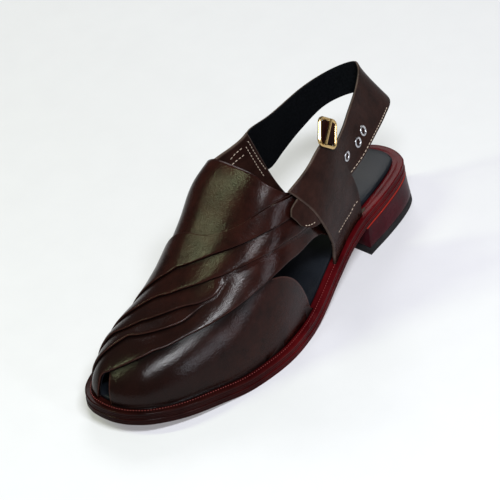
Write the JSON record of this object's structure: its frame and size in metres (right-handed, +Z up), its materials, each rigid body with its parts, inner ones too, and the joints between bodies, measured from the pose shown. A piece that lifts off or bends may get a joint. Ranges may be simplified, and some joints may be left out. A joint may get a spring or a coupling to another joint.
{
  "type": "peshawari chappal",
  "caption": "Men's leather peshawari chappal, left shoe: closed vamp of crossing leather strips, sling strap round the heel fastened with a side buckle, layered sole with a stacked heel.",
  "frame": {"origin": "centre of the heel's tread, on the floor, 32 mm in front of the back of the sole", "axes": "+X towards the toe, +Y towards the outer side of the left foot, +Z up from the floor"},
  "size_m": [0.2976, 0.104, 0.143],
  "materials": {
    "top_piece": "matt black rubber",
    "heel": "stacked leather, dark burgundy stain",
    "outsole": "sole leather with a stained, waxed edge",
    "midsole": "sole leather with a stained, waxed edge",
    "insole": "black lining leather over a foam pad",
    "upper": "glossy dark oxblood box leather",
    "strap": "glossy dark oxblood box leather",
    "eyelets": "nickel-plated steel",
    "buckle": "polished brass",
    "tab": "dark brown leather"
  },
  "bodies": {
    "root": {"heel_top_piece": "top_piece", "heel_block": "heel", "outsole": "outsole", "midsole": "midsole", "insole": "insole", "upper": "upper", "quarter_outer": "upper", "quarter_inner": "upper", "sling_strap": "strap", "eyelet_1": "eyelets", "eyelet_2": "eyelets", "eyelet_3": "eyelets", "buckle_frame": "buckle", "buckle_prong": "buckle", "buckle_tab": "tab"}
  },
  "joints": []
}
